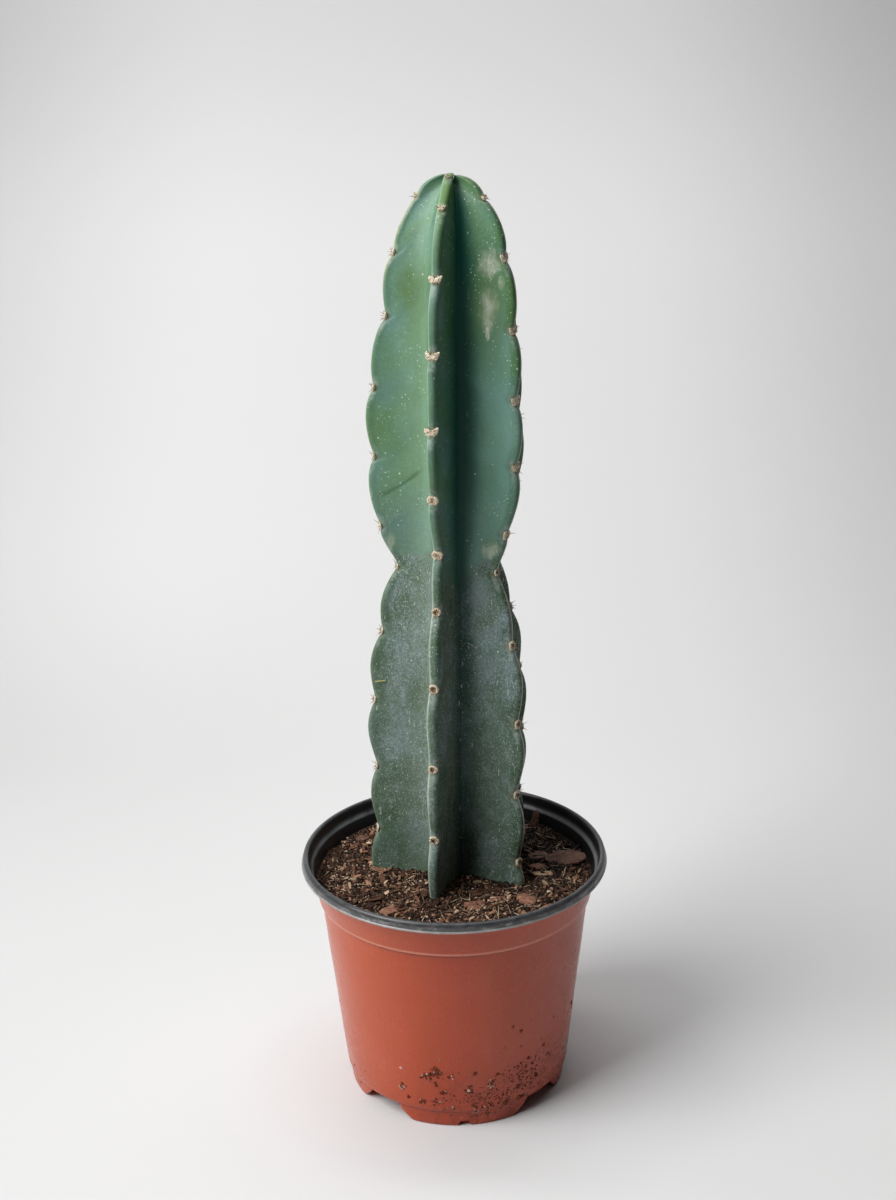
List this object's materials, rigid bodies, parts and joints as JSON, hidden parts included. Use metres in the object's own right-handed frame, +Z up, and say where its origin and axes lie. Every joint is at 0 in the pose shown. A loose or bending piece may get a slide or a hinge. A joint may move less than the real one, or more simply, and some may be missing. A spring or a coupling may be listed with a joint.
{
  "type": "potted columnar cactus",
  "caption": "Upright ribbed columnar cactus with areoles along its scalloped crests, rooted in soil with bark chips in a footed, rimmed nursery pot.",
  "frame": {"origin": "middle of the pot's base, on the surface that it stands on", "axes": "+Z up along the stem, -Y towards the picture's camera, +X to the camera's right"},
  "size_m": [0.16, 0.16, 0.4744],
  "materials": {
    "pot": "satin terracotta outside, black inside",
    "soil": "loose brown peat and coir, dull",
    "stem": "waxy blue-green skin with bloom, cream areoles and brown spines",
    "bark": "dull reddish-brown bark"
  },
  "bodies": {
    "root": {"pot": "pot", "soil": "soil", "stem": "stem", "bark_chip_flat": "bark", "bark_chip_dark": "bark", "bark_chip_upright": "bark", "bark_chip_pale": "bark", "bark_chip_round": "bark", "bark_chip_front_left": "bark", "bark_chip_front_middle": "bark", "bark_chip_front_right": "bark", "bark_chip_left": "bark", "bark_chip_behind": "bark", "bark_chip_back": "bark"}
  },
  "joints": []
}
